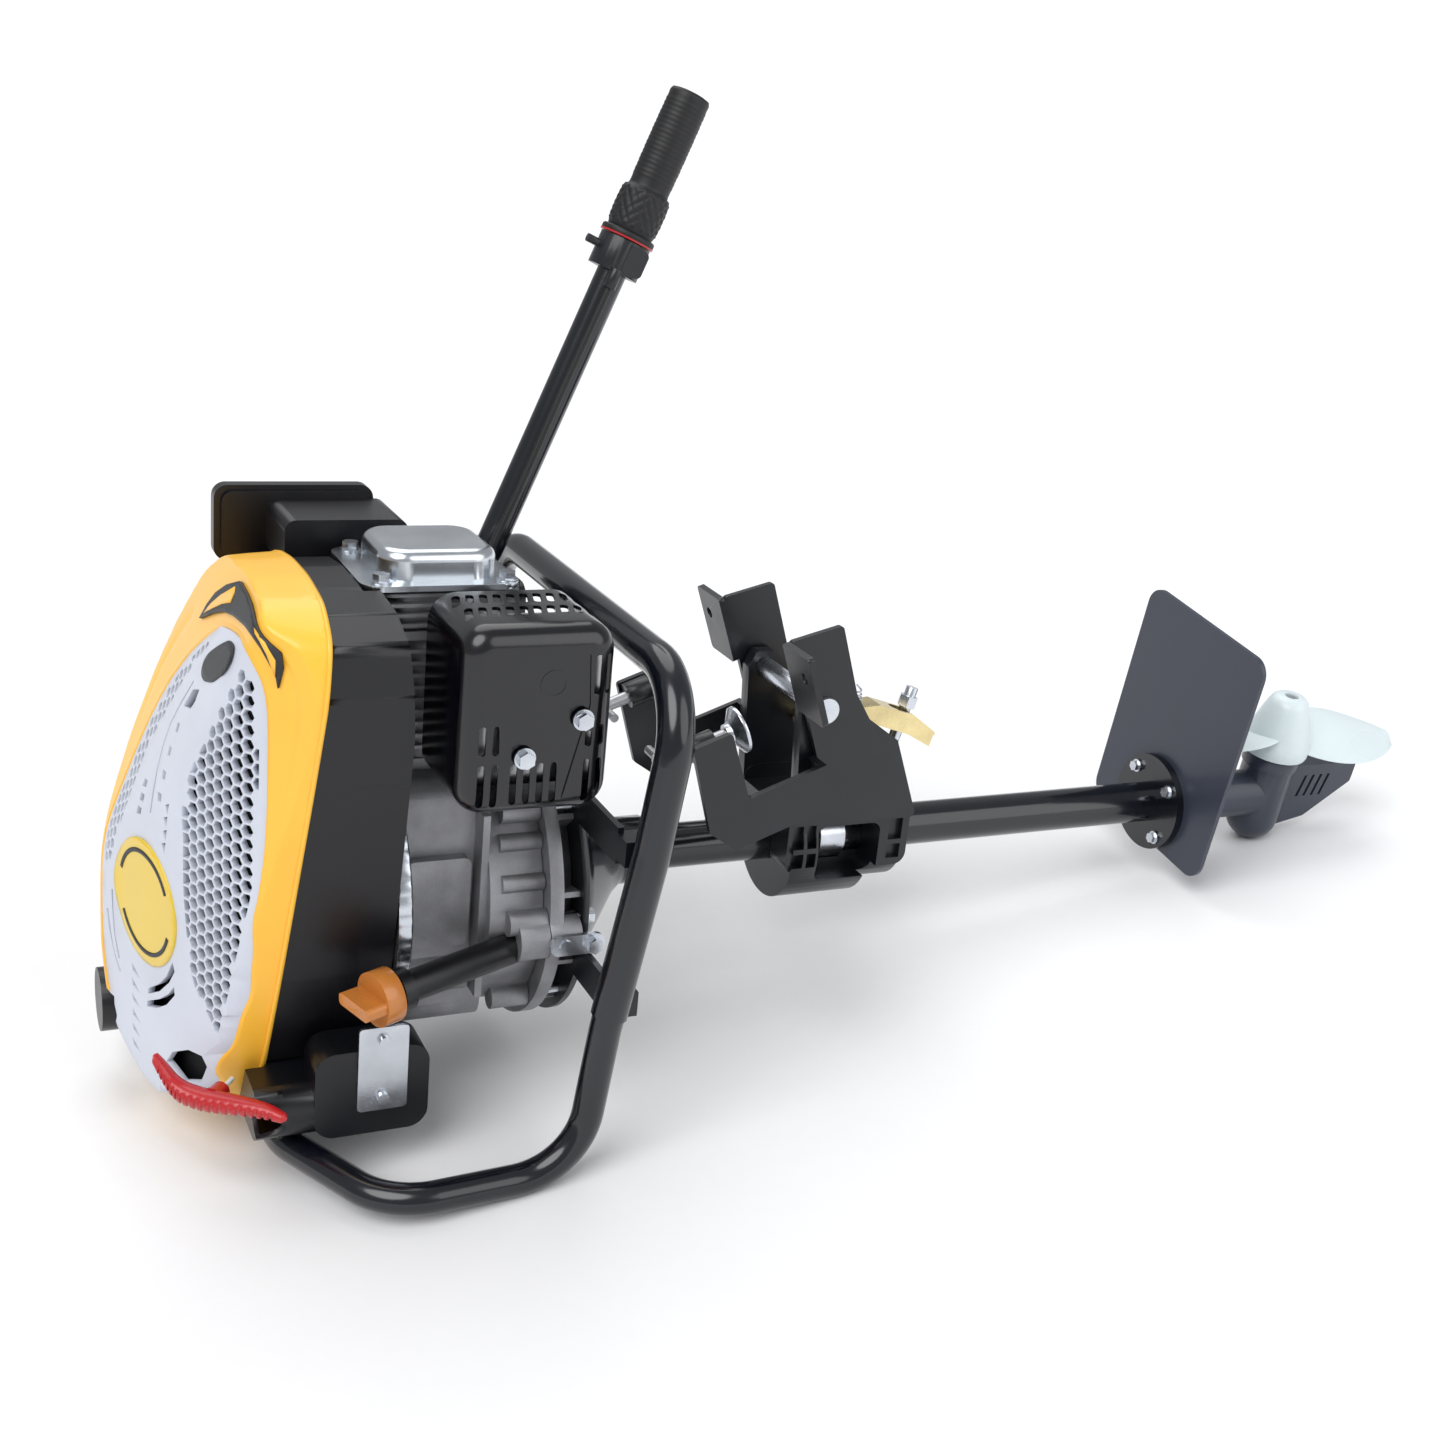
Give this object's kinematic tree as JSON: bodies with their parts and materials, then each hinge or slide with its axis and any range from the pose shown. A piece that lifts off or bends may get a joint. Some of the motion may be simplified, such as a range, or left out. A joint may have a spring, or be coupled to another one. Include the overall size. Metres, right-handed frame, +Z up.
{
  "type": "outboard motor",
  "caption": "Portable outboard motor: air-cooled petrol engine in a hoop frame, long drive tube, tilting transom clamp, tiller with twist throttle and horizontal propeller drive.",
  "frame": {"origin": "centre of the bounding box footprint, on the ground the motor lies on", "axes": "+X from the engine along the drive tube to the propeller, +Y to the air cleaner side, +Z up"},
  "size_m": [1.14, 0.405, 0.6851],
  "materials": {
    "cast_aluminium": "as-cast, lightly blasted",
    "pressed_steel": "bright zinc plate",
    "zinc": "bright zinc plate",
    "black_paint": "gloss black paint",
    "bracket_paint": "satin black paint",
    "guard_enamel": "gloss black enamel",
    "black_plastic": "moulded, satin",
    "yellow_plastic": "moulded, gloss",
    "grey_plastic": "moulded, satin silver-grey",
    "orange_plastic": "moulded, gloss orange-brown",
    "red_plastic": "moulded, satin red",
    "tank_plastic": "blow-moulded, satin",
    "lower_paint": "satin dark blue-grey",
    "nylon": "moulded, milky",
    "steel": "machined",
    "yellow_zinc": "yellow passivated zinc",
    "rubber": "moulded",
    "foam": "open-cell foam"
  },
  "bodies": {
    "motor": {"crankcase": "cast_aluminium", "cylinder_head": "cast_aluminium", "rocker_cover": "pressed_steel", "flange_bolts": "zinc", "sump": "cast_aluminium", "blower_housing": "black_plastic", "top_shroud": "yellow_plastic", "shroud_grille": "grey_plastic", "muffler_body": "steel", "muffler_guard": "guard_enamel", "air_cleaner_case": "black_plastic", "air_cleaner_lid": "black_plastic", "air_filter": "foam", "carburettor": "steel", "fuel_tank": "tank_plastic", "oil_filler_tube": "black_plastic", "filler_clamp": "zinc", "tank_bracket": "zinc", "spark_plug": "steel", "plug_lead": "rubber", "piston": "cast_aluminium", "mounting_plate": "bracket_paint", "upper_hoop": "black_paint", "lower_loop": "black_paint", "clutch_bell": "black_paint", "drive_tube": "black_paint", "anti_ventilation_plate": "lower_paint", "gearcase": "lower_paint", "skeg": "lower_paint", "bearings": "steel", "tiller_bracket": "bracket_paint", "throttle_cable": "rubber", "starter_rope": "nylon"},
    "swivel": {"swivel_bracket": "bracket_paint", "friction_band": "zinc", "stop_bolt": "zinc"},
    "clamp": {"clamp_plates": "bracket_paint", "tilt_pin": "zinc"},
    "lever": {"lock_lever": "yellow_zinc", "lever_spring": "steel"},
    "pad_near": {"clamp_pad_near": "zinc"},
    "pad_far": {"clamp_pad_far": "zinc"},
    "screw_near": {"clamp_screw_near": "steel"},
    "screw_far": {"clamp_screw_far": "steel"},
    "tiller": {"tiller_tube": "black_paint", "throttle_housing": "bracket_paint"},
    "grip": {"throttle_grip": "rubber"},
    "handle": {"starter_handle": "red_plastic"},
    "reel": {"starter_reel": "black_plastic"},
    "tank_cap": {"fuel_cap": "black_plastic"},
    "oil_cap": {"oil_filler_cap": "orange_plastic"},
    "crank": {"crankshaft": "steel", "flywheel": "steel", "clutch_shoes": "steel"},
    "drive": {"clutch_drum": "steel", "drive_shaft": "steel", "pinion": "steel"},
    "prop": {"prop_shaft": "steel", "bevel_gear": "steel", "propeller": "nylon"}
  },
  "joints": [
    {"name": "steering", "type": "hinge", "parent": "motor", "child": "swivel", "pos_m": [-0.00579, 0, 0.11192], "axis": [0.9896, 0, -0.1437], "range_deg": [-90, 90]},
    {"name": "tilt", "type": "hinge", "parent": "swivel", "child": "clamp", "pos_m": [-0.03277, 0, 0.24619], "axis": [0, 1, 0], "range_deg": [0, 110]},
    {"name": "tilt_lock", "type": "hinge", "parent": "swivel", "child": "lever", "pos_m": [-0.00601, 0, 0.20088], "axis": [0, 1, 0], "range_deg": [0, 8], "stiffness_Nm_per_rad": 3, "springref_deg": -20.05, "deforming": ["lever_spring"]},
    {"name": "tiller_fold", "type": "hinge", "parent": "motor", "child": "tiller", "pos_m": [-0.24912, 0.075, 0.35339], "axis": [0, 1, 0], "range_deg": [-50, 38], "deforming": ["throttle_cable"]},
    {"name": "throttle_twist", "type": "hinge", "parent": "tiller", "child": "grip", "pos_m": [-0.09885, 0.075, 0.61304], "axis": [0.5009, 0, 0.8655], "range_deg": [0, 70], "stiffness_Nm_per_rad": 0.3, "springref_deg": -5.73},
    {"name": "starter_pull", "type": "slide", "parent": "motor", "child": "handle", "axis": [-0.6158, -0.7828, 0.0894], "range_m": [0, 0.45], "stiffness_N_per_m": 15, "springref_m": -0.1, "deforming": ["starter_rope"]},
    {"name": "reel_turn", "type": "hinge", "parent": "motor", "child": "reel", "pos_m": [-0.47091, 0, 0.17945], "axis": [0.9896, 0, -0.1437], "range_deg": [0, 860]},
    {"name": "fuel_cap_turn", "type": "hinge", "parent": "motor", "child": "tank_cap", "pos_m": [-0.54868, 0.094, 0.06139], "axis": [0.9896, 0, -0.1437], "range_deg": [0, 90]},
    {"name": "oil_cap_turn", "type": "hinge", "parent": "motor", "child": "oil_cap", "pos_m": [-0.39364, -0.131, 0.14095], "axis": [-0.9466, -0.3154, 0.0666], "range_deg": [-90, 0]},
    {"name": "crank_spin", "type": "hinge", "parent": "motor", "child": "crank", "pos_m": [-0.36799, 0, 0.16451], "axis": [0.9896, 0, -0.1437], "continuous": true},
    {"name": "shaft_spin", "type": "hinge", "parent": "motor", "child": "drive", "pos_m": [0.02786, 0, 0.10704], "axis": [0.9896, 0, -0.1437], "continuous": true},
    {"name": "propeller_spin", "type": "hinge", "parent": "motor", "child": "prop", "pos_m": [0.44548, 0, 0.04641], "axis": [0.1419, -0.1564, 0.9774], "continuous": true},
    {"name": "clamp_feed_near", "type": "slide", "parent": "clamp", "child": "pad_near", "axis": [0.9791, 0, 0.2035], "range_m": [-0.006, 0.011]},
    {"name": "screw_turn_near", "type": "hinge", "parent": "pad_near", "child": "screw_near", "pos_m": [-0.11942, -0.06, 0.24044], "axis": [0.9791, 0, 0.2035], "range_deg": [-1240, 2280]},
    {"name": "clamp_feed_far", "type": "slide", "parent": "clamp", "child": "pad_far", "axis": [0.9791, 0, 0.2035], "range_m": [-0.006, 0.011]},
    {"name": "screw_turn_far", "type": "hinge", "parent": "pad_far", "child": "screw_far", "pos_m": [-0.11942, 0.06, 0.24044], "axis": [0.9791, 0, 0.2035], "range_deg": [-1240, 2280]}
  ],
  "couplings": [
    {"joint": "reel_turn", "follows": "starter_pull", "rad_per_m": 33.333},
    {"joint": "shaft_spin", "follows": "crank_spin", "ratio": 1},
    {"joint": "propeller_spin", "follows": "crank_spin", "ratio": -0.58333},
    {"joint": "screw_turn_near", "follows": "clamp_feed_near", "rad_per_m": 3590.4},
    {"joint": "screw_turn_far", "follows": "clamp_feed_far", "rad_per_m": 3590.4}
  ]
}
